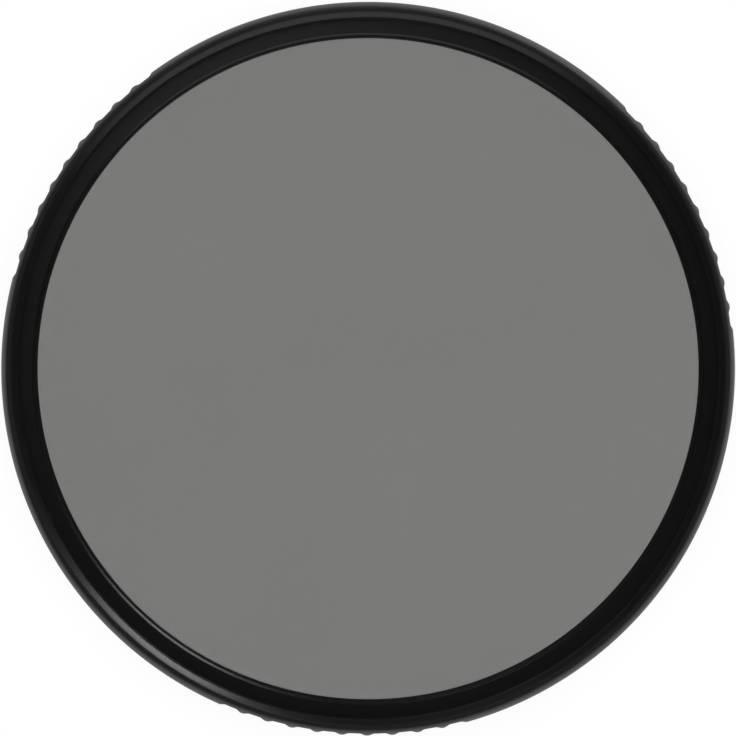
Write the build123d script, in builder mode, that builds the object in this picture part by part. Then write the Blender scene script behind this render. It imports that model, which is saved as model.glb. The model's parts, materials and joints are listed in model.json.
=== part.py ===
from build123d import *
import os
from math import radians, sin, tan

# Screw-in grey filter for the front of a camera lens, lying on its rear end.
# +Z runs along the optical axis towards the front, and the origin is on that axis at the rear end.
# Threads are plain cylinders: at the crest where they meet the outside world, and at the pitch radius where
# the retaining ring screws into the frame. All lengths are in millimetres and all angles in degrees.

# Lens thread, of the same nominal size at the rear and at the front
thread_size = 77.0
thread_pitch = 0.75
rear_thread_length = 2.2
rear_thread_allowance = 0.05
rear_thread_lead = 0.35
rear_relief_length = 0.4
front_thread_depth = 2.7
front_thread_allowance = 0.15
front_relief_length = 0.5
front_relief_allowance = 0.1

# Rim
rim_wall = 1.5
front_land = 0.22
front_edge_height = 2.0
mouth_edge_radius = 0.2
mouth_chamfer_width = 0.65
mouth_chamfer_angle = 40.0
mouth_lead_width = 0.15
mouth_lead_depth = 0.2
shoulder_chamfer = 0.4

# Grip valleys, milled along the rim in separate zones
grip_zones = 3
grip_zone_angle = 270.0
grip_valleys = 10
grip_pitch_angle = 4.0
grip_depth = 0.24
grip_land = 0.2
grip_flank_angle = 21.0

# Ledge in front of the glass
ledge_thickness = 0.9
ledge_bevel_width = 0.22
ledge_step_width = 0.04
ledge_lip_width = 0.33
ledge_lip_height = 0.5
lip_bevel_width = 0.08
bevel_angle = 37.0

# Glass
glass_thickness = 2.0
glass_clearance = 0.08
glass_seat_width = 1.1
glass_edge_chamfer = 0.15

# Retaining ring behind the glass
rear_wall = 0.515
ring_thread_pitch = 0.5
ring_thread_runout = 0.3
ring_thread_lead = 0.2
ring_clearance = 0.02
ring_recess = 0.6
ring_thickness = 1.0
ring_setback = 0.3
ring_bevel = 0.4
spanner_slots = 2
spanner_slot_width = 1.6
spanner_slot_depth = 0.5
spanner_slot_overrun = 0.5

# Depths of a metric thread, as shares of its pitch
INSIDE_DEPTH = 0.5413
OUTSIDE_DEPTH = 0.6134
PITCH_LINE_DEPTH = 0.3248

# Radii, from the outside in
thread_radius = thread_size / 2
rim_radius = thread_radius + rim_wall
rear_crest = thread_radius - rear_thread_allowance / 2
rear_root = rear_crest - OUTSIDE_DEPTH * thread_pitch
front_crest = thread_radius - INSIDE_DEPTH * thread_pitch + front_thread_allowance / 2
front_relief = thread_radius + front_relief_allowance / 2
mouth_lead_radius = front_crest + mouth_lead_width
mouth_radius = mouth_lead_radius + mouth_chamfer_width
front_edge_width = rim_radius - mouth_radius - front_land
ring_thread_radius = rear_root - rear_wall
ring_bore = ring_thread_radius - PITCH_LINE_DEPTH * ring_thread_pitch
pocket_radius = ring_thread_radius - INSIDE_DEPTH * ring_thread_pitch
glass_radius = pocket_radius - glass_clearance
aperture_radius = glass_radius - glass_seat_width
lip_radius = aperture_radius + ledge_lip_width
step_radius = lip_radius + ledge_step_width
bevel_radius = step_radius + ledge_bevel_width
ring_outer = ring_bore - ring_clearance
ring_inner = aperture_radius + ring_setback

# Heights, from the rear end up
ring_rear = ring_recess
glass_rear = ring_rear + ring_thickness
glass_front = glass_rear + glass_thickness
ledge_front = glass_front + ledge_thickness
frame_front = ledge_front + front_thread_depth
shoulder = rear_thread_length
pocket_rear = glass_rear + ring_thread_runout
chamfer_rear = frame_front - mouth_chamfer_width * tan(radians(mouth_chamfer_angle))
lead_rear = chamfer_rear - mouth_lead_depth
bevel_slope = tan(radians(bevel_angle))
bevel_rear = ledge_front - ledge_bevel_width * bevel_slope
lip_front = glass_front + ledge_lip_height

# Grip valley: a flat floor between two sloping flanks, with a narrow land left on top of each ridge
grip_zone_span = (grip_valleys - 1) * grip_pitch_angle
grip_pitch = 2 * rim_radius * sin(radians(grip_pitch_angle / 2))
flank_slope = tan(radians(grip_flank_angle))
valley_mouth = (grip_pitch - grip_land) / 2
valley_floor = valley_mouth - grip_depth / flank_slope
valley_overrun = grip_land / 2 * flank_slope
valley_top = valley_mouth + valley_overrun / flank_slope
valley_corners = [
    (-grip_depth, -valley_floor),
    (valley_overrun, -valley_top),
    (valley_overrun, valley_top),
    (-grip_depth, valley_floor),
]

# Frame: a turned section, then the grip valleys cut along its rim
with BuildPart() as filter_frame:
    with BuildSketch(Plane.XZ) as section:
        with BuildLine():
            outside = Polyline(
                (rear_crest - rear_thread_lead, 0),
                (rear_crest, rear_thread_lead),
                (rear_crest, shoulder - rear_relief_length),
                (rear_root, shoulder - rear_relief_length),
                (rear_root, shoulder),
                (rim_radius - shoulder_chamfer, shoulder),
                (rim_radius, shoulder + shoulder_chamfer),
                (rim_radius, frame_front - front_edge_height),
            )
            EllipticalCenterArc(
                (rim_radius - front_edge_width, frame_front - front_edge_height),
                front_edge_width,
                front_edge_height,
                start_angle=0,
                arc_size=90,
            )
            Polyline(
                (rim_radius - front_edge_width, frame_front),
                (mouth_radius, frame_front),
                (mouth_lead_radius, chamfer_rear),
                (mouth_lead_radius, lead_rear),
                (front_crest, lead_rear),
                (front_crest, ledge_front + front_relief_length),
                (front_relief, ledge_front + front_relief_length),
                (front_relief, ledge_front),
                (bevel_radius, ledge_front),
                (step_radius, bevel_rear),
                (lip_radius, lip_front),
                (aperture_radius + lip_bevel_width, lip_front),
                (aperture_radius, lip_front - lip_bevel_width * bevel_slope),
                (aperture_radius, glass_front),
                (pocket_radius, glass_front),
                (pocket_radius, pocket_rear),
                (ring_bore, pocket_rear),
                (ring_bore, ring_thread_lead),
                (ring_bore + ring_thread_lead, 0),
                outside @ 0,
            )
        make_face()
        mouth_edge = section.vertices().sort_by_distance((mouth_radius, frame_front))[0]
        fillet(mouth_edge, mouth_edge_radius)
    revolve(axis=Axis.Z)
    with BuildSketch():
        with PolarLocations(0, grip_zones, start_angle=grip_zone_angle):
            with PolarLocations(
                rim_radius,
                grip_valleys,
                start_angle=-grip_zone_span / 2,
                angular_range=grip_zone_span,
                endpoint=True,
            ):
                Polygon(*valley_corners, align=None)
    extrude(amount=frame_front, mode=Mode.SUBTRACT)
filter_frame.part.label = "filter_frame"

# Glass disc, with its edges ground
with BuildPart() as filter_glass:
    with BuildSketch(Plane.XY.offset(glass_rear)):
        Circle(glass_radius)
    extrude(amount=glass_thickness)
    chamfer(filter_glass.edges().filter_by(GeomType.CIRCLE), glass_edge_chamfer)
filter_glass.part.label = "filter_glass"

# Retaining ring, with slots across its rear face for a spanner
with BuildPart() as retaining_ring:
    with BuildSketch(Plane.XZ):
        with BuildLine():
            Polyline(
                (ring_outer, ring_rear),
                (ring_outer, glass_rear),
                (ring_inner, glass_rear),
                (ring_inner, ring_rear + ring_bevel),
                (ring_inner + ring_bevel, ring_rear),
                close=True,
            )
        make_face()
    revolve(axis=Axis.Z)
    with BuildSketch(Plane.XY.offset(ring_rear)):
        with PolarLocations((ring_inner + ring_outer) / 2, spanner_slots):
            Rectangle(ring_outer - ring_inner + 2 * spanner_slot_overrun, spanner_slot_width)
    extrude(amount=spanner_slot_depth, mode=Mode.SUBTRACT)
retaining_ring.part.label = "retaining_ring"

# One file for each piece
os.makedirs("parts", exist_ok=True)
for piece in (filter_frame, filter_glass, retaining_ring):
    export_step(piece.part, f"parts/{piece.part.label}.step")
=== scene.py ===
import json
import math

import bpy
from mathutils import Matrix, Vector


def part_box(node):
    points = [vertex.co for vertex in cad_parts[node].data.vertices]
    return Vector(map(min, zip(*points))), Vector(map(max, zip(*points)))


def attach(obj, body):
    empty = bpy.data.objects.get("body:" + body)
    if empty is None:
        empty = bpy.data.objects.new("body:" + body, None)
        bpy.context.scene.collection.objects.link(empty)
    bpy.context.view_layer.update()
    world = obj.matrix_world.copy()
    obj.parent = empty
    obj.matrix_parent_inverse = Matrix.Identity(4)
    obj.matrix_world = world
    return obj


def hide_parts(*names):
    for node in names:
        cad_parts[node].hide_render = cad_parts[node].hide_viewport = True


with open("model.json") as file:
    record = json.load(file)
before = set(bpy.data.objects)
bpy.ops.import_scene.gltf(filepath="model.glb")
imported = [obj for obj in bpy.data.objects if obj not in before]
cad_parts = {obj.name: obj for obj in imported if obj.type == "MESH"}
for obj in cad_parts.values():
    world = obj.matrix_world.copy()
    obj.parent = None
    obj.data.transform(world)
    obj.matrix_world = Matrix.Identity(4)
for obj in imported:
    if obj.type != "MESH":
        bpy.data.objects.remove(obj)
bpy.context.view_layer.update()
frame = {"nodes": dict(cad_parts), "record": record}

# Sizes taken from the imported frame, in millimetres
MM = 0.001
mounts = {mount["name"]: mount["dims"] for mount in frame["record"]["mounts"]}
frame_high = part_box("filter_frame")[1] / MM
glass_low, glass_high = (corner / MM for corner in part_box("filter_glass"))
ring_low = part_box("retaining_ring")[0] / MM
rim_radius = frame_high.x
frame_front = frame_high.z
glass_radius = glass_high.x
glass_rear = glass_low.z
glass_front = glass_high.z
ring_rear = ring_low.z
rear_crest = mounts["rear_thread"]["r_mm"]
front_crest = mounts["front_thread"]["r_mm"]

# Lens threads, in millimetres and degrees as all sizes down to the stage
thread_size = 77.0
thread_pitch = 0.75
rear_thread_length = 2.2
rear_thread_lead = 0.35
rear_relief_length = 0.4
front_thread_depth = 2.7
front_relief_length = 0.5
front_relief_allowance = 0.1

# Rim and ledge
front_land = 0.22
front_edge_height = 2.0
mouth_edge_radius = 0.2
mouth_chamfer_width = 0.65
mouth_chamfer_angle = 40.0
mouth_lead_width = 0.15
mouth_lead_depth = 0.2
shoulder_chamfer = 0.4
ledge_bevel_width = 0.22
ledge_step_width = 0.04
ledge_lip_width = 0.33
ledge_lip_height = 0.5
lip_bevel_width = 0.08
bevel_angle = 37.0
glass_seat_width = 1.1
glass_clearance = 0.08

# Grip valleys
grip_zones = 3
grip_zone_angle = 270.0
grip_valleys = 10
grip_pitch_angle = 4.0
grip_depth = 0.24
grip_land = 0.2
grip_flank_angle = 21.0

# Retaining ring
ring_thread_pitch = 0.5
ring_thread_lead = 0.2
ring_thread_runout = 0.15
ring_thread_gap = 0.03
ring_setback = 0.3
ring_bevel = 0.4
spanner_slots = 2
spanner_slot_width = 1.6
spanner_slot_depth = 0.5

# Metric threads: depths and flats as shares of the pitch, and the slope of a flank
INSIDE_DEPTH = 0.5413
OUTSIDE_DEPTH = 0.6134
THREAD_FLAT = 0.125
FLANK_ANGLE = 30.0
FLANK_SLOPE = math.tan(math.radians(FLANK_ANGLE))

# Fineness of the machining
columns = 360
tool_steps = 240
front_edge_steps = 30
edge_break = 0.04
edge_break_steps = 4
faded_share = 0.05
short_runout = 0.02
tool_overrun = 0.05
relief_margin = 0.02
sharp_angle = 35.0
rim_sharp_angle = 12.0

# Radii and heights that follow
thread_radius = thread_size / 2
rear_root = rear_crest - OUTSIDE_DEPTH * thread_pitch
front_relief = thread_radius + front_relief_allowance / 2
mouth_lead_radius = front_crest + mouth_lead_width
mouth_radius = mouth_lead_radius + mouth_chamfer_width
front_edge_width = rim_radius - mouth_radius - front_land
pocket_radius = glass_radius + glass_clearance
ring_thread_radius = pocket_radius + INSIDE_DEPTH * ring_thread_pitch
aperture_radius = glass_radius - glass_seat_width
lip_radius = aperture_radius + ledge_lip_width
step_radius = lip_radius + ledge_step_width
bevel_radius = step_radius + ledge_bevel_width
ring_inner = aperture_radius + ring_setback
ring_crest = ring_thread_radius - ring_thread_gap
ring_root = ring_crest - OUTSIDE_DEPTH * ring_thread_pitch
shoulder = rear_thread_length
ledge_front = frame_front - front_thread_depth
chamfer_rear = frame_front - mouth_chamfer_width * math.tan(math.radians(mouth_chamfer_angle))
lead_rear = chamfer_rear - mouth_lead_depth
lip_front = glass_front + ledge_lip_height
bevel_slope = math.tan(math.radians(bevel_angle))


# Node trees
def feed(tree, socket, value):
    """Links a socket, or sets its value."""
    if isinstance(value, bpy.types.NodeSocket):
        tree.links.new(value, socket)
    else:
        socket.default_value = value


def add(tree, kind, inputs=None, **settings):
    """Adds a node with its settings and inputs, and returns its first output."""
    node = tree.nodes.new(kind)
    for name, value in settings.items():
        setattr(node, name, value)
    for name, value in (inputs or {}).items():
        feed(tree, node.inputs[name], value)
    return node.outputs[0]


def calc(tree, operation, first, second=0.0):
    """Adds a Math node and returns its result."""
    return add(tree, "ShaderNodeMath", {0: first, 1: second}, operation=operation)


def vector(tree, x=0.0, y=0.0, z=0.0):
    """Adds a Combine XYZ node and returns its vector."""
    return add(tree, "ShaderNodeCombineXYZ", {"X": x, "Y": y, "Z": z})


def measured(tree, operation, value):
    """Adds a Vector Math node that gives one number, and returns it."""
    node = tree.nodes.new("ShaderNodeVectorMath")
    node.operation = operation
    feed(tree, node.inputs[0], value)
    return node.outputs["Value"]


def new_tree(name, sizes):
    """Starts a geometry tree with named inputs, and returns it with those inputs and its result."""
    tree = bpy.data.node_groups.new(name, "GeometryNodeTree")
    for label, kind in sizes.items():
        tree.interface.new_socket(label, in_out="INPUT", socket_type=kind)
    tree.interface.new_socket("Geometry", in_out="OUTPUT", socket_type="NodeSocketGeometry")
    given = tree.nodes.new("NodeGroupInput")
    result = tree.nodes.new("NodeGroupOutput")
    return tree, given.outputs, result.inputs[0]


def size_inputs(floats, integers=()):
    """Names the inputs of a tool."""
    inputs = {label: "NodeSocketFloat" for label in floats}
    inputs.update({label: "NodeSocketInt" for label in integers})
    return inputs


def thread_tool_tree():
    """A cutter for a thread's groove, swept along a right-hand helix, for a bore or for a screw."""
    tree, size, result = new_tree("thread_tool", size_inputs(
        ["Crest radius", "Root radius", "Pitch", "Root width", "Overrun", "First height", "Turns",
         "Run-out turns"],
        ["Steps"],
    ))
    depth = calc(tree, "SUBTRACT", size["Root radius"], size["Crest radius"])
    side = calc(tree, "SIGN", depth)
    mouth = calc(tree, "MULTIPLY", calc(tree, "MULTIPLY", side, size["Overrun"]), -1.0)
    spread = calc(tree, "MULTIPLY", calc(tree, "SUBTRACT", depth, mouth), FLANK_SLOPE)
    half_root = calc(tree, "MULTIPLY", calc(tree, "MULTIPLY", size["Root width"], 0.5), side)
    half_mouth = calc(tree, "ADD", half_root, spread)
    profile = add(tree, "GeometryNodeCurvePrimitiveQuadrilateral", mode="POINTS", inputs={
        "Point 1": vector(tree, mouth, calc(tree, "MULTIPLY", half_mouth, -1.0)),
        "Point 2": vector(tree, depth, calc(tree, "MULTIPLY", half_root, -1.0)),
        "Point 3": vector(tree, depth, half_root),
        "Point 4": vector(tree, mouth, half_mouth),
    })
    helix = add(tree, "GeometryNodeCurveSpiral", {
        "Resolution": size["Steps"],
        "Rotations": size["Turns"],
        "Start Radius": size["Crest radius"],
        "End Radius": size["Crest radius"],
        "Height": calc(tree, "MULTIPLY", size["Pitch"], size["Turns"]),
        "Reverse": True,
    })
    upright = add(tree, "GeometryNodeSetCurveNormal", {"Curve": helix}, mode="Z_UP")

    # The groove fades out over its last turns, as where the tool is drawn back
    still_left = calc(tree, "SUBTRACT", 1.0, add(tree, "GeometryNodeSplineParameter"))
    turns_left = calc(tree, "MULTIPLY", still_left, size["Turns"])
    fade = add(tree, "ShaderNodeMapRange", {
        "Value": turns_left,
        "From Max": size["Run-out turns"],
        "To Min": faded_share,
    })
    groove = add(tree, "GeometryNodeCurveToMesh", {
        "Curve": upright,
        "Profile Curve": profile,
        "Scale": fade,
        "Fill Caps": True,
    })
    placed = add(tree, "GeometryNodeTransform", {
        "Geometry": groove,
        "Translation": vector(tree, z=size["First height"]),
    })
    tree.links.new(placed, result)
    return tree


def grip_tool_tree():
    """Cutters for the grip valleys: a prism with a flat tip, set round the rim in zones."""
    tree, size, result = new_tree("grip_tool", size_inputs(
        ["Rim radius", "Depth", "Floor width", "Mouth width", "Overrun", "Length", "First zone angle",
         "Pitch angle"],
        ["Zones", "Valleys"],
    ))
    half_floor = calc(tree, "MULTIPLY", size["Floor width"], 0.5)
    half_mouth = calc(tree, "MULTIPLY", size["Mouth width"], 0.5)
    slope = calc(tree, "DIVIDE", calc(tree, "SUBTRACT", half_mouth, half_floor), size["Depth"])
    half_top = calc(tree, "ADD", half_mouth, calc(tree, "MULTIPLY", slope, size["Overrun"]))
    tip = calc(tree, "SUBTRACT", size["Rim radius"], size["Depth"])
    top = calc(tree, "ADD", size["Rim radius"], size["Overrun"])
    profile = add(tree, "GeometryNodeCurvePrimitiveQuadrilateral", mode="POINTS", inputs={
        "Point 1": vector(tree, tip, calc(tree, "MULTIPLY", half_floor, -1.0)),
        "Point 2": vector(tree, top, calc(tree, "MULTIPLY", half_top, -1.0)),
        "Point 3": vector(tree, top, half_top),
        "Point 4": vector(tree, tip, half_floor),
    })
    base = add(tree, "GeometryNodeFillCurve", {"Curve": profile})
    raised = add(tree, "GeometryNodeExtrudeMesh", {
        "Mesh": base,
        "Offset": vector(tree, z=1.0),
        "Offset Scale": size["Length"],
        "Individual": False,
    })
    underside = add(tree, "GeometryNodeFlipFaces", {"Mesh": base})
    both = add(tree, "GeometryNodeJoinGeometry", {"Geometry": raised})
    tree.links.new(underside, both.node.inputs["Geometry"])
    prism = add(tree, "GeometryNodeMergeByDistance", {"Geometry": both})

    # A valley's number gives its zone, and its place in that zone
    number = add(tree, "GeometryNodeInputIndex")
    zone = calc(tree, "FLOOR", calc(tree, "DIVIDE", calc(tree, "ADD", number, 0.5), size["Valleys"]))
    place = calc(tree, "SUBTRACT", number, calc(tree, "MULTIPLY", zone, size["Valleys"]))
    middle = calc(tree, "MULTIPLY", calc(tree, "SUBTRACT", size["Valleys"], 1.0), 0.5)
    in_zone = calc(tree, "MULTIPLY", calc(tree, "SUBTRACT", place, middle), size["Pitch angle"])
    zone_turn = calc(tree, "MULTIPLY", zone, calc(tree, "DIVIDE", 360.0, size["Zones"]))
    angle = calc(tree, "ADD", calc(tree, "ADD", size["First zone angle"], zone_turn), in_zone)
    placed = add(tree, "GeometryNodeInstanceOnPoints", {
        "Points": add(tree, "GeometryNodePoints", {
            "Count": calc(tree, "MULTIPLY", size["Zones"], size["Valleys"]),
        }),
        "Instance": prism,
        "Rotation": vector(tree, z=calc(tree, "RADIANS", angle)),
    })
    tree.links.new(add(tree, "GeometryNodeRealizeInstances", {"Geometry": placed}), result)
    return tree


def slot_tool_tree():
    """Cutters for the spanner slots: a block across the ring, set round its axis."""
    tree, size, result = new_tree("slot_tool", size_inputs(
        ["Inner radius", "Outer radius", "Width", "First height", "Last height"],
        ["Slots"],
    ))
    block = add(tree, "GeometryNodeMeshCube", {"Size": vector(
        tree,
        calc(tree, "SUBTRACT", size["Outer radius"], size["Inner radius"]),
        size["Width"],
        calc(tree, "SUBTRACT", size["Last height"], size["First height"]),
    )})
    moved = add(tree, "GeometryNodeTransform", {"Geometry": block, "Translation": vector(
        tree,
        calc(tree, "MULTIPLY", calc(tree, "ADD", size["Outer radius"], size["Inner radius"]), 0.5),
        0.0,
        calc(tree, "MULTIPLY", calc(tree, "ADD", size["Last height"], size["First height"]), 0.5),
    )})
    share = calc(tree, "DIVIDE", add(tree, "GeometryNodeInputIndex"), size["Slots"])
    placed = add(tree, "GeometryNodeInstanceOnPoints", {
        "Points": add(tree, "GeometryNodePoints", {"Count": size["Slots"]}),
        "Instance": moved,
        "Rotation": vector(tree, z=calc(tree, "MULTIPLY", share, math.tau)),
    })
    tree.links.new(add(tree, "GeometryNodeRealizeInstances", {"Geometry": placed}), result)
    return tree


def machined_tree(name, tools):
    """A section swept round the axis, with the tools' volume taken off and its sharp edges marked.
    Every size of a tool is an input of this tree too."""
    sizes = {"Section": "NodeSocketGeometry"}
    sizes.update(size_inputs(
        ["Sweep radius", "Sharp angle", "Rim from", "Rim sharp angle"],
        ["Columns", "Edge steps"],
    ))
    for label, (tool, _) in tools.items():
        for item in tool.interface.items_tree:
            if item.in_out == "INPUT":
                sizes[f"{label}: {item.name}"] = item.socket_type
    sizes["Finish"] = "NodeSocketMaterial"
    tree, size, result = new_tree(name, sizes)

    # The blank: the section with its edges broken, turned on the lathe
    section = add(tree, "GeometryNodeMeshToCurve", {"Mesh": size["Section"]})
    radius = add(tree, "GeometryNodeInputNamedAttribute", {"Name": "edge_radius"}, data_type="FLOAT")
    eased = add(tree, "GeometryNodeFilletCurve", mode="POLY", inputs={
        "Curve": section,
        "Count": size["Edge steps"],
        "Radius": radius,
        "Limit Radius": True,
    })
    path = add(tree, "GeometryNodeCurvePrimitiveCircle", mode="RADIUS", inputs={
        "Resolution": size["Columns"],
        "Radius": size["Sweep radius"],
    })
    blank = add(tree, "GeometryNodeCurveToMesh", {"Curve": path, "Profile Curve": eased})

    # The tools
    cut = tree.nodes.new("GeometryNodeMeshBoolean")
    cut.operation = "DIFFERENCE"
    cut.solver = "MANIFOLD"
    tree.links.new(blank, cut.inputs["Mesh 1"])
    for label, (tool, values) in tools.items():
        inner = tree.nodes.new("GeometryNodeGroup")
        inner.node_tree = tool
        for key in values:
            tree.links.new(size[f"{label}: {key}"], inner.inputs[key])
        tree.links.new(inner.outputs[0], cut.inputs["Mesh 2"])

    # Edges sharper than a limit stay sharp, and the milled rim has a limit of its own
    angle = calc(tree, "DEGREES", add(tree, "GeometryNodeInputMeshEdgeAngle"))
    flat = add(tree, "ShaderNodeVectorMath", operation="MULTIPLY", inputs={
        0: add(tree, "GeometryNodeInputPosition"),
        1: (1.0, 1.0, 0.0),
    })
    on_rim = calc(tree, "GREATER_THAN", measured(tree, "LENGTH", flat), size["Rim from"])
    easing = calc(tree, "SUBTRACT", size["Rim sharp angle"], size["Sharp angle"])
    limit = calc(tree, "ADD", size["Sharp angle"], calc(tree, "MULTIPLY", on_rim, easing))
    shaded = add(tree, "GeometryNodeSetShadeSmooth", domain="EDGE", inputs={
        "Geometry": cut.outputs["Mesh"],
        "Shade Smooth": calc(tree, "LESS_THAN", angle, limit),
    })
    scaled = add(tree, "GeometryNodeTransform", {"Geometry": shaded, "Scale": (MM, MM, MM)})
    whole = add(tree, "GeometryNodeRealizeInstances", {"Geometry": scaled})
    finished = add(tree, "GeometryNodeSetMaterial", {"Geometry": whole, "Material": size["Finish"]})
    tree.links.new(finished, result)
    return tree


def section_mesh(name, corners, sweep_radius):
    """The outline of a turned section, from corners of radius, height and edge break.
    The corners are listed with the metal on the left. A sweep's profile has its second axis downwards,
    so heights change sign and the order turns."""
    mesh = bpy.data.meshes.new(name)
    points = [(radius - sweep_radius, -height, 0.0) for radius, height, _ in reversed(corners)]
    edges = [(number, (number + 1) % len(points)) for number in range(len(points))]
    mesh.from_pydata(points, edges, [])
    attribute = mesh.attributes.new("edge_radius", "FLOAT", "POINT")
    attribute.data.foreach_set("value", [eased for _, _, eased in reversed(corners)])
    return mesh


def machined_piece(name, corners, tools, finish):
    """Machines one piece and keeps it as a plain mesh."""
    sweep_radius = pocket_radius
    values = {
        "Sweep radius": sweep_radius,
        "Columns": columns,
        "Edge steps": edge_break_steps,
        "Sharp angle": sharp_angle,
        "Rim from": rim_radius - front_edge_width,
        "Rim sharp angle": rim_sharp_angle,
        "Finish": finish,
    }
    for label, (_, tool_values) in tools.items():
        values.update({f"{label}: {key}": value for key, value in tool_values.items()})
    piece = bpy.data.objects.new(name, section_mesh(name + "_section", corners, sweep_radius))
    bpy.context.scene.collection.objects.link(piece)
    machining = piece.modifiers.new("machining", "NODES")
    machining.node_group = machined_tree(name + "_machining", tools)
    for item in machining.node_group.interface.items_tree:
        if item.in_out == "INPUT" and item.name in values:
            machining[item.identifier] = values[item.name]
    weighting = piece.modifiers.new("even_normals", "WEIGHTED_NORMAL")
    weighting.keep_sharp = True
    weighting.weight = 100
    graph = bpy.context.evaluated_depsgraph_get()
    mesh = bpy.data.meshes.new_from_object(piece.evaluated_get(graph), depsgraph=graph)
    mesh.name = name
    piece.modifiers.clear()
    piece.data = mesh
    return piece


# Finishes, with the scales of their patterns in grains to the metre
lathe_line_scale = 9000.0
lathe_line_detail = 3.0
lathe_line_roughness = 0.6
dimple_scale = 12000.0
dimple_detail = 1.0
metal_cloud_scale = 160.0
glass_cloud_scale = 45.0
cloud_detail = 2.0
noise_low = 0.3
noise_high = 0.7
rim_blend_inside = 0.3
rim_blend_outside = 0.2
colour_spread = 0.2
roughness_spread = 0.03
turned_relief = 0.05
blasted_relief = 0.6
relief_depth = 0.03


def new_finish(name):
    """Starts a material, and returns its tree, its shader and its Object coordinates."""
    finish = bpy.data.materials.new(name)
    finish.use_nodes = True
    tree = finish.node_tree
    place = tree.nodes.new("ShaderNodeTexCoord").outputs["Object"]
    return finish, tree, tree.nodes["Principled BSDF"], place


def mottle(tree, place, scale, detail, roughness=0.5):
    """Noise between 0 and 1."""
    return add(tree, "ShaderNodeTexNoise", {
        "Vector": place,
        "Scale": scale,
        "Detail": detail,
        "Roughness": roughness,
    })


def between(tree, noise, low, high):
    """A number that runs from low to high with a noise."""
    return add(tree, "ShaderNodeMapRange", {
        "Value": noise,
        "From Min": noise_low,
        "From Max": noise_high,
        "To Min": low,
        "To Max": high,
    })


def shade(tree, noise, low, high):
    """A colour that runs from low to high with a noise."""
    ramp = tree.nodes.new("ShaderNodeValToRGB")
    ramp.color_ramp.elements[0].position = noise_low
    ramp.color_ramp.elements[0].color = (*low, 1.0)
    ramp.color_ramp.elements[1].position = noise_high
    ramp.color_ramp.elements[1].color = (*high, 1.0)
    tree.links.new(noise, ramp.inputs["Fac"])
    return ramp.outputs["Color"]


def blend(tree, share, low, high):
    """A number that runs from low to high as a share runs from 0 to 1."""
    return calc(tree, "ADD", calc(tree, "MULTIPLY", share, high - low), low)


def anodised(name, low, high, turned, blasted, rim_paler_and_lit):
    """Black anodised aluminium, with the fine lines of the lathe inside and a blasted rim outside.
    Its colour lies between low and high, and the rim is paler by a factor: partly the greyer blasted
    finish, partly painted light standing in for the light that the raised rim catches and the recessed
    ledge does not. Turned and blasted are the roughness of the inside and of the rim."""
    finish, tree, shader, place = new_finish(name)
    flat = add(tree, "ShaderNodeVectorMath", {0: place, 1: (1.0, 1.0, 0.0)}, operation="MULTIPLY")
    height = add(tree, "ShaderNodeVectorMath", {0: place, 1: (0.0, 0.0, 1.0)}, operation="MULTIPLY")
    across = vector(tree, measured(tree, "LENGTH", flat), 0.0, measured(tree, "LENGTH", height))
    lines = mottle(tree, across, lathe_line_scale, lathe_line_detail, lathe_line_roughness)
    cloud = mottle(tree, place, metal_cloud_scale, cloud_detail)
    dimples = mottle(tree, place, dimple_scale, dimple_detail)
    on_rim = add(tree, "ShaderNodeMapRange", interpolation_type="SMOOTHSTEP", inputs={
        "Value": measured(tree, "LENGTH", flat),
        "From Min": (mouth_radius - rim_blend_inside) * MM,
        "From Max": (mouth_radius + rim_blend_outside) * MM,
    })
    rim_change = calc(tree, "MULTIPLY", on_rim, calc(tree, "SUBTRACT", dimples, lines))
    texture = calc(tree, "ADD", lines, rim_change)
    # The rim's paler colour is partly the blasted finish and partly painted light, for the light that
    # the raised rim catches
    rim_tone_and_light = blend(tree, on_rim, 1.0, rim_paler_and_lit)
    uneven = between(tree, texture, 1.0 - colour_spread, 1.0 + colour_spread)
    feed(tree, shader.inputs["Base Color"], add(tree, "ShaderNodeVectorMath", operation="SCALE", inputs={
        0: shade(tree, cloud, low, high),
        "Scale": calc(tree, "MULTIPLY", rim_tone_and_light, uneven),
    }))
    rough = blend(tree, on_rim, turned, blasted)
    rough_change = between(tree, texture, -roughness_spread, roughness_spread)
    feed(tree, shader.inputs["Roughness"], calc(tree, "ADD", rough, rough_change))
    relief = add(tree, "ShaderNodeBump", {
        "Strength": blend(tree, on_rim, turned_relief, blasted_relief),
        "Distance": relief_depth * MM,
        "Height": texture,
    })
    feed(tree, shader.inputs["Normal"], relief)
    tangent = add(tree, "ShaderNodeTangent", direction_type="RADIAL", axis="Z")
    feed(tree, shader.inputs["Tangent"], tangent)
    shader.inputs["Anisotropic"].default_value = 0.3
    shader.inputs["Anisotropic Rotation"].default_value = 0.25
    shader.inputs["IOR"].default_value = 1.77
    shader.inputs["Specular Tint"].default_value = (1.0, 0.95, 0.99, 1.0)
    return finish


def grey_glass(name, low, high):
    """Neutral grey glass, polished."""
    finish, tree, shader, place = new_finish(name)
    cloud = mottle(tree, place, glass_cloud_scale, cloud_detail)
    feed(tree, shader.inputs["Base Color"], shade(tree, cloud, low, high))
    shader.inputs["Transmission Weight"].default_value = 1.0
    shader.inputs["Roughness"].default_value = 0.0
    shader.inputs["IOR"].default_value = 1.5
    return finish


# The frame's rim is 3.1 times paler: partly its greyer blasted finish, partly painted light that makes
# up for lamp light on the raised rim
frame_finish = anodised(
    "frame_black",
    low=(0.003, 0.0027, 0.0025),
    high=(0.004, 0.0037, 0.0035),
    turned=0.34,
    blasted=0.54,
    rim_paler_and_lit=3.1,
)
ring_finish = anodised(
    "ring_black",
    low=(0.0028, 0.0028, 0.0028),
    high=(0.004, 0.004, 0.004),
    turned=0.45,
    blasted=0.45,
    rim_paler_and_lit=1.0,
)
glass_finish = grey_glass("grey_glass", low=(0.1862, 0.188, 0.179), high=(0.1914, 0.1933, 0.1842))

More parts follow.
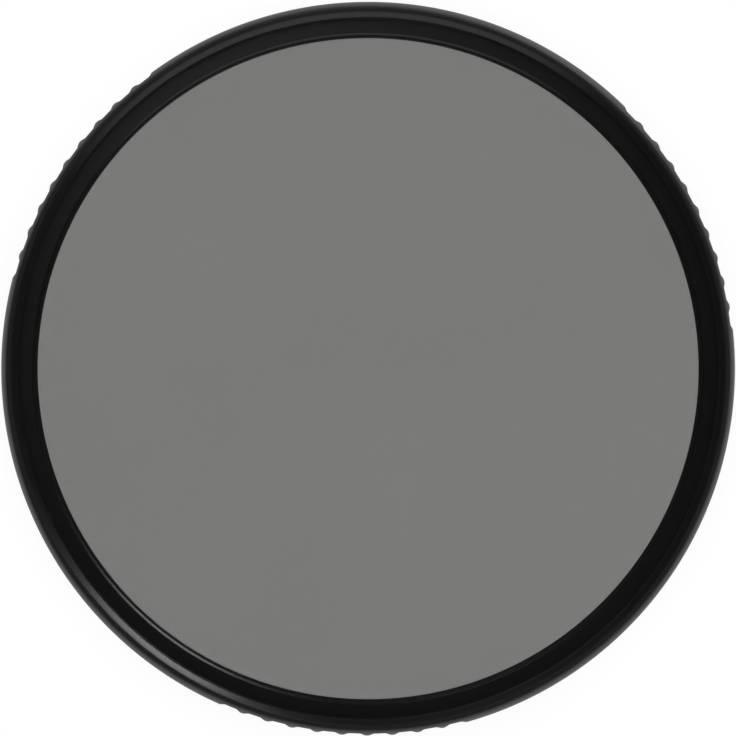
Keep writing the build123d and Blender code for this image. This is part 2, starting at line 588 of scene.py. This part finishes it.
# Frame: the outside from the rear end up, the rounded front edge, then the inside back down
front_edge = []
for step in range(front_edge_steps + 1):
    turn = math.pi / 2 * step / front_edge_steps
    front_edge.append((
        rim_radius - front_edge_width * (1.0 - math.cos(turn)),
        frame_front - front_edge_height * (1.0 - math.sin(turn)),
        0.0,
    ))
frame_corners = [
    (rear_crest - rear_thread_lead, 0.0, edge_break),
    (rear_crest, rear_thread_lead, edge_break),
    (rear_crest, shoulder - rear_relief_length, edge_break),
    (rear_root, shoulder - rear_relief_length, edge_break),
    (rear_root, shoulder, edge_break),
    (rim_radius - shoulder_chamfer, shoulder, edge_break),
    (rim_radius, shoulder + shoulder_chamfer, edge_break),
    *front_edge,
    (mouth_radius, frame_front, mouth_edge_radius),
    (mouth_lead_radius, chamfer_rear, edge_break),
    (mouth_lead_radius, lead_rear, edge_break),
    (front_crest, lead_rear, edge_break),
    (front_crest, ledge_front + front_relief_length, edge_break),
    (front_relief, ledge_front + front_relief_length, edge_break),
    (front_relief, ledge_front, edge_break),
    (bevel_radius, ledge_front, edge_break),
    (step_radius, ledge_front - ledge_bevel_width * bevel_slope, edge_break),
    (lip_radius, lip_front, edge_break),
    (aperture_radius + lip_bevel_width, lip_front, edge_break),
    (aperture_radius, lip_front - lip_bevel_width * bevel_slope, edge_break),
    (aperture_radius, glass_front, edge_break),
    (pocket_radius, glass_front, edge_break),
    (pocket_radius, ring_thread_radius - pocket_radius, edge_break),
    (ring_thread_radius, 0.0, edge_break),
]
grip_pitch = 2.0 * rim_radius * math.sin(math.radians(grip_pitch_angle / 2.0))
valley_mouth = grip_pitch - grip_land
valley_floor = valley_mouth - 2.0 * grip_depth / math.tan(math.radians(grip_flank_angle))
thread_tool = thread_tool_tree()
grip_tool = grip_tool_tree()
slot_tool = slot_tool_tree()


def thread_cut(crest, root, pitch, root_width, first, last, runout=short_runout):
    """The tool and the sizes for one thread."""
    return thread_tool, {
        "Crest radius": crest,
        "Root radius": root,
        "Pitch": pitch,
        "Root width": root_width,
        "Overrun": tool_overrun,
        "First height": first,
        "Turns": (last - first) / pitch,
        "Run-out turns": runout,
        "Steps": tool_steps,
    }


def screw_root_width(crest, root, pitch):
    """The width of a screw's groove at its root, which leaves the usual flat on the crest."""
    return pitch * (1.0 - THREAD_FLAT) - 2.0 * (crest - root) * FLANK_SLOPE


front_reach = thread_radius - front_crest + tool_overrun
front_mouth = thread_pitch * THREAD_FLAT + 2.0 * front_reach * FLANK_SLOPE
rear_mouth = thread_pitch * (1.0 - THREAD_FLAT) + 2.0 * tool_overrun * FLANK_SLOPE
frame_tools = {
    "Grip": (grip_tool, {
        "Rim radius": rim_radius,
        "Depth": grip_depth,
        "Floor width": valley_floor,
        "Mouth width": valley_mouth,
        "Overrun": tool_overrun,
        "Length": frame_front + tool_overrun,
        "First zone angle": grip_zone_angle,
        "Pitch angle": grip_pitch_angle,
        "Zones": grip_zones,
        "Valleys": grip_valleys,
    }),
    "Front thread": thread_cut(
        front_crest, thread_radius, thread_pitch, thread_pitch * THREAD_FLAT,
        ledge_front + relief_margin + front_mouth / 2.0, lead_rear, front_mouth / 2.0 / thread_pitch,
    ),
    "Rear thread": thread_cut(
        rear_crest, rear_root + relief_margin, thread_pitch,
        screw_root_width(rear_crest, rear_root + relief_margin, thread_pitch),
        -thread_pitch, shoulder - relief_margin - rear_mouth / 2.0,
    ),
    "Ring thread": thread_cut(
        pocket_radius, ring_thread_radius, ring_thread_pitch, ring_thread_pitch * THREAD_FLAT,
        -ring_thread_pitch, glass_rear + ring_thread_runout,
    ),
}
filter_frame = machined_piece("frame_machined", frame_corners, frame_tools, frame_finish)

# Retaining ring, whose groove lies half a pitch from the one that it runs in
ring_corners = [
    (ring_crest - ring_thread_lead, ring_rear, edge_break),
    (ring_crest, ring_rear + ring_thread_lead, edge_break),
    (ring_crest, glass_rear - ring_thread_lead, edge_break),
    (ring_crest - ring_thread_lead, glass_rear, edge_break),
    (ring_inner, glass_rear, edge_break),
    (ring_inner, ring_rear + ring_bevel, edge_break),
    (ring_inner + ring_bevel, ring_rear, edge_break),
]
ring_tools = {
    "Thread": thread_cut(
        ring_crest, ring_root, ring_thread_pitch,
        screw_root_width(ring_crest, ring_root, ring_thread_pitch),
        0.5 * ring_thread_pitch, glass_rear + ring_thread_pitch,
    ),
    "Slot": (slot_tool, {
        "Inner radius": ring_inner - tool_overrun,
        "Outer radius": ring_crest + tool_overrun,
        "Width": spanner_slot_width,
        "First height": ring_rear - tool_overrun,
        "Last height": ring_rear + spanner_slot_depth,
        "Slots": spanner_slots,
    }),
}
retaining_ring = machined_piece("ring_machined", ring_corners, ring_tools, ring_finish)

# Glass, carried over with its finish
glass_node = frame["nodes"]["filter_glass"]
glass_node.data.materials.clear()
glass_node.data.materials.append(glass_finish)

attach(filter_frame, "root")
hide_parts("filter_frame")
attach(retaining_ring, "root")
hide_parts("retaining_ring")

# Stage, with lengths in metres and angles in degrees
floor_half = 3.0
floor_height = -0.02 * MM
paper_grey = 0.8
paper_grey_seen = 0.12
paper_glow = 0.93
wall_top_sine = 0.35
wall_light = 0.12
ceiling_light = 0.02
camera_roll = 4.15
camera_distance = 2.0
view_width = 0.08015
view_shift_x = -0.00014
view_shift_y = 0.00095

# Floor: white to the camera, to the metal and through the glass, and a pale matt surface to the light
floor_mesh = bpy.data.meshes.new("floor")
floor_mesh.from_pydata(
    [(-floor_half, -floor_half, floor_height), (floor_half, -floor_half, floor_height),
     (floor_half, floor_half, floor_height), (-floor_half, floor_half, floor_height)],
    [],
    [(0, 1, 2, 3)],
)
floor = bpy.data.objects.new("floor", floor_mesh)
bpy.context.scene.collection.objects.link(floor)
floor_paper = bpy.data.materials.new("floor_paper")
floor_paper.use_nodes = True
tree = floor_paper.node_tree
shader = tree.nodes["Principled BSDF"]
seen = tree.nodes.new("ShaderNodeLightPath")
direct = calc(tree, "MAXIMUM", seen.outputs["Is Camera Ray"], seen.outputs["Is Glossy Ray"])
direct = calc(tree, "MAXIMUM", direct, seen.outputs["Is Transmission Ray"])
paper = blend(tree, direct, paper_grey, paper_grey_seen)
feed(tree, shader.inputs["Base Color"], vector(tree, paper, paper, paper))
shader.inputs["Roughness"].default_value = 1.0
shader.inputs["Specular IOR Level"].default_value = 0.0
shader.inputs["Emission Color"].default_value = (1.0, 1.0, 1.0, 1.0)
feed(tree, shader.inputs["Emission Strength"], calc(tree, "MULTIPLY", direct, paper_glow))
floor_mesh.materials.append(floor_paper)

# Room: white to the camera and through the glass; to the metal, a dark ceiling over paler walls
world = bpy.data.worlds.new("room")
world.use_nodes = True
bpy.context.scene.world = world
tree = world.node_tree
sky = tree.nodes["Background"]
seen = tree.nodes.new("ShaderNodeLightPath")
up = tree.nodes.new("ShaderNodeSeparateXYZ")
tree.links.new(tree.nodes.new("ShaderNodeTexCoord").outputs["Generated"], up.inputs[0])
wall = add(tree, "ShaderNodeMapRange", {
    "Value": up.outputs["Z"],
    "From Min": 0.0,
    "From Max": wall_top_sine,
    "To Min": wall_light,
    "To Max": ceiling_light,
})
sky.inputs["Color"].default_value = (1.0, 1.0, 1.0, 1.0)
direct = calc(tree, "MAXIMUM", seen.outputs["Is Camera Ray"], seen.outputs["Is Transmission Ray"])
feed(tree, sky.inputs["Strength"], calc(tree, "MAXIMUM", wall, direct))


# Lamps, placed by their direction in the photograph, and the camera straight above
def softbox(name, azimuth, elevation, distance, width, height, power):
    """An area lamp that faces the filter."""
    data = bpy.data.lights.new(name, "AREA")
    data.shape = "RECTANGLE"
    data.size = width
    data.size_y = height
    data.energy = power
    lamp = bpy.data.objects.new(name, data)
    bpy.context.scene.collection.objects.link(lamp)
    turn = math.radians(azimuth + camera_roll)
    tilt = math.radians(elevation)
    lamp.location = (
        distance * math.cos(tilt) * math.cos(turn),
        distance * math.cos(tilt) * math.sin(turn),
        distance * math.sin(tilt),
    )
    lamp.rotation_euler = (math.pi / 2 - tilt, 0.0, turn + math.pi / 2)
    lamp.visible_camera = False
    return lamp


softbox("key", azimuth=53.5, elevation=10.0, distance=1.0, width=0.38, height=0.28, power=1.85)
softbox("fill", azimuth=278.0, elevation=12.0, distance=1.0, width=1.7, height=0.35, power=1.35)
softbox("panel", azimuth=110.0, elevation=50.0, distance=0.31, width=0.12, height=0.3, power=0.042)
softbox("near", azimuth=112.0, elevation=79.7, distance=0.2541, width=0.04, height=0.007, power=0.0039)
above = softbox("above", azimuth=0.0, elevation=90.0, distance=1.2, width=1.0, height=1.0, power=9.0)
above.visible_glossy = False

camera_data = bpy.data.cameras.new("camera")
camera_data.sensor_width = 36.0
camera_data.lens = camera_data.sensor_width * camera_distance / view_width
camera_data.shift_x = view_shift_x
camera_data.shift_y = view_shift_y
camera = bpy.data.objects.new("camera", camera_data)
bpy.context.scene.collection.objects.link(camera)
camera.location = (0.0, 0.0, camera_distance + frame_front * MM)
camera.rotation_euler = (0.0, 0.0, math.radians(camera_roll))
bpy.context.scene.camera = camera
bpy.context.scene.view_settings.view_transform = "Standard"
